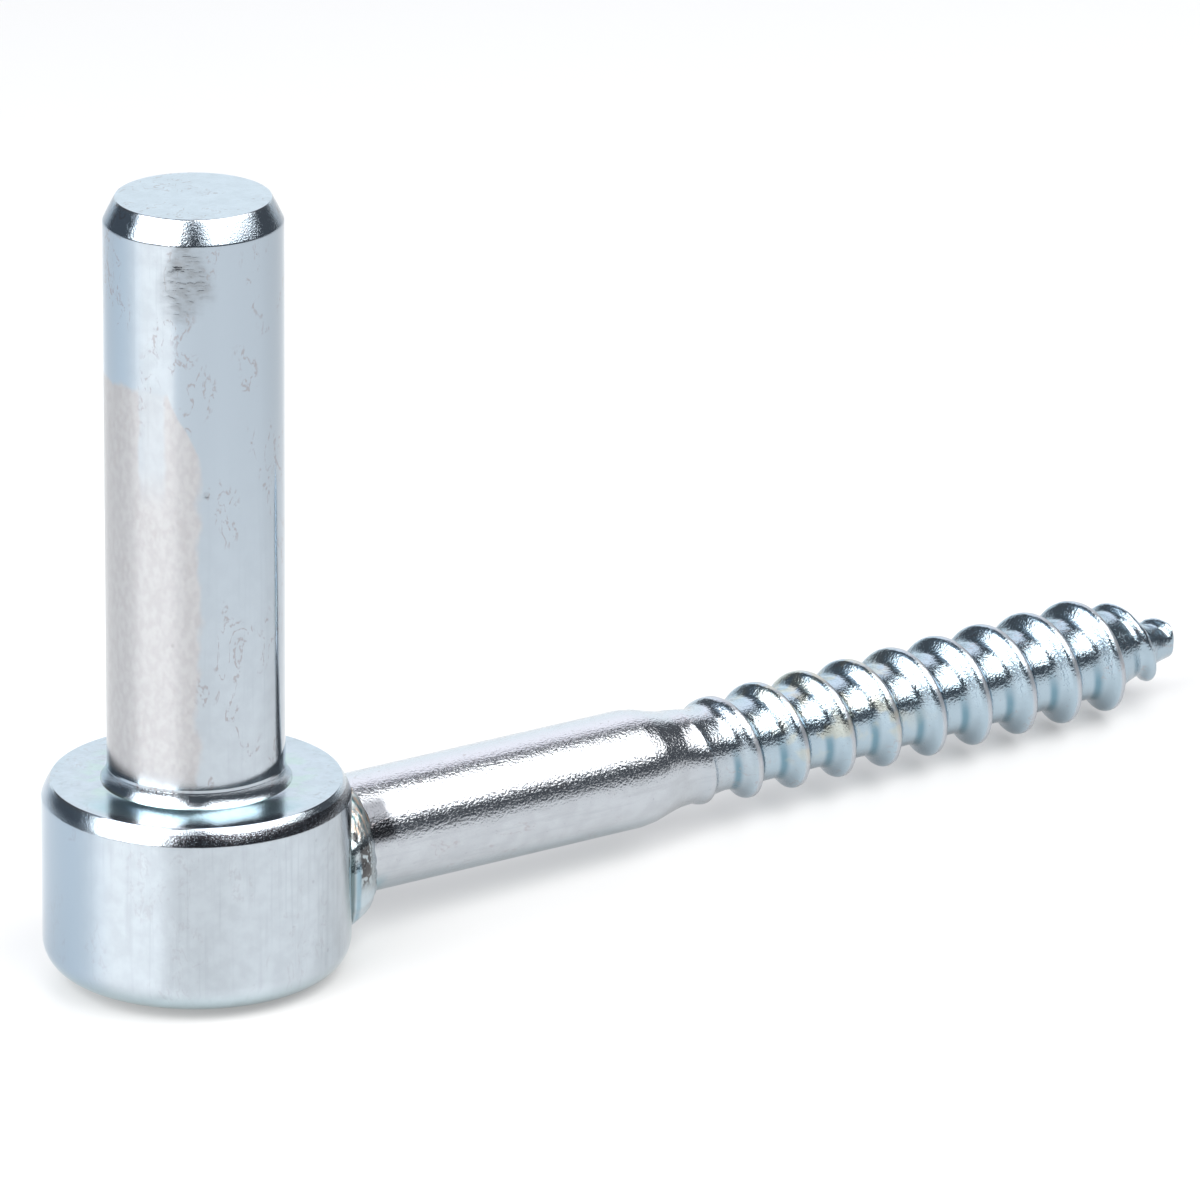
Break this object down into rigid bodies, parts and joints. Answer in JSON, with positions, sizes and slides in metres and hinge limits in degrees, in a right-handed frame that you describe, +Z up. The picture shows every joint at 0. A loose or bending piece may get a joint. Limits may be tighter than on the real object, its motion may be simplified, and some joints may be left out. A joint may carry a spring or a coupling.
{
  "type": "gate hinge pin",
  "caption": "Screw-in gate hinge pin: a round upright pin on a round boss, with a coarse wood screw welded square to the boss's side.",
  "frame": {"origin": "centre of the boss's flat underside, on the pin's axis", "axes": "+Z up the pin's axis, +X out along the screw's axis from the boss, +Y to the left of the screw"},
  "size_m": [0.1232, 0.0278, 0.0722],
  "materials": {
    "plated_pin": "bright blue zinc plate on turned steel",
    "plated_screw": "bright zinc plate on rolled steel",
    "plated_weld": "zinc plate on weld metal"
  },
  "bodies": {
    "root": {"pin_and_boss": "plated_pin", "wood_screw": "plated_screw", "weld_bead": "plated_weld"}
  },
  "joints": []
}
